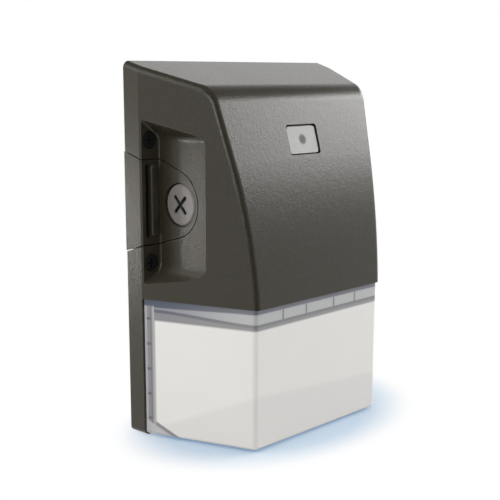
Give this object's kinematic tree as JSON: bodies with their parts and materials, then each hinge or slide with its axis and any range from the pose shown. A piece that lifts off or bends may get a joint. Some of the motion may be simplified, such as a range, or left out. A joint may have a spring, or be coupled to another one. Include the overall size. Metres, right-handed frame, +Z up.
{
  "type": "wall pack light",
  "caption": "Outdoor wall pack light with a hooded die-cast housing, a frosted lens under it, a dusk sensor window in front, and a wall box with plugged side conduit entries.",
  "frame": {"origin": "on the wall plane, in the middle of the light's width and height", "axes": "+Z up, +Y into the wall, so the light's front faces -Y; +X to the right of someone who faces the light"},
  "size_m": [0.14, 0.066, 0.1839],
  "materials": {
    "powder_coat": "fine-textured dark bronze powder coat",
    "gasket_rubber": "matt moulded rubber",
    "green_screw": "green dyed zinc",
    "plug_metal": "cast, unpainted grey",
    "dark_screw": "blackened",
    "lens_plastic": "clear moulding with a frosted field",
    "plain_screw": "zinc plated",
    "white_sheet": "satin white",
    "thermal_pad": "soft grey",
    "white_board": "white solder mask",
    "led_package": "yellow phosphor",
    "white_plastic": "moulded",
    "driver_case": "moulded case",
    "window_plastic": "translucent grey",
    "sensor_lens": "clear epoxy over a dark cell",
    "green_board": "solder mask",
    "black_plastic": "moulded",
    "red_wire": "insulation",
    "white_wire": "insulation",
    "black_wire": "insulation",
    "green_wire": "insulation"
  },
  "bodies": {
    "back_box": {"back_box": "powder_coat", "wall_gasket": "gasket_rubber", "box_gasket": "gasket_rubber", "ground_screw": "green_screw"},
    "front_housing": {"board_screws": "plain_screw", "driver": "driver_case", "driver_screws": "plain_screw", "ground_lead": "green_wire", "housing": "powder_coat", "housing_screws": "dark_screw", "lead_grommet": "gasket_rubber", "led_board": "white_board", "led_chips": "led_package", "led_connector": "white_plastic", "led_leads": "red_wire", "led_thermal_pad": "thermal_pad", "lens": "lens_plastic", "lens_gasket": "gasket_rubber", "lens_screws": "plain_screw", "line_lead": "black_wire", "neutral_lead": "white_wire", "photocell_board": "green_board", "photocell_holder": "black_plastic", "photocell_leads": "white_wire", "photocell_sensor": "sensor_lens", "photocell_window": "window_plastic", "photocell_window_seal": "gasket_rubber", "reflector": "white_sheet", "sensor_holder_screws": "plain_screw"},
    "left_plug_seal": {"left_plug_seal": "gasket_rubber"},
    "left_plug": {"left_conduit_plug": "plug_metal"},
    "right_plug_seal": {"right_plug_seal": "gasket_rubber"},
    "right_plug": {"right_conduit_plug": "plug_metal"}
  },
  "joints": [
    {"name": "housing_removal", "type": "slide", "parent": "back_box", "child": "front_housing", "axis": [0, -1, 0], "range_m": [0, 0.08]},
    {"name": "left_plug_travel", "type": "slide", "parent": "back_box", "child": "left_plug_seal", "axis": [-1, 0, 0], "range_m": [0, 0.012]},
    {"name": "left_plug_turn", "type": "hinge", "parent": "left_plug_seal", "child": "left_plug", "pos_m": [-0.05, -0.025, 0.0245], "axis": [-1, 0, 0], "range_deg": [0, 2380]},
    {"name": "right_plug_travel", "type": "slide", "parent": "back_box", "child": "right_plug_seal", "axis": [1, 0, 0], "range_m": [0, 0.012]},
    {"name": "right_plug_turn", "type": "hinge", "parent": "right_plug_seal", "child": "right_plug", "pos_m": [0.05, -0.025, 0.0245], "axis": [1, 0, 0], "range_deg": [0, 2380]}
  ],
  "couplings": [
    {"joint": "left_plug_travel", "follows": "left_plug_turn", "m_per_rad": 0.00028871},
    {"joint": "right_plug_travel", "follows": "right_plug_turn", "m_per_rad": 0.00028871}
  ]
}
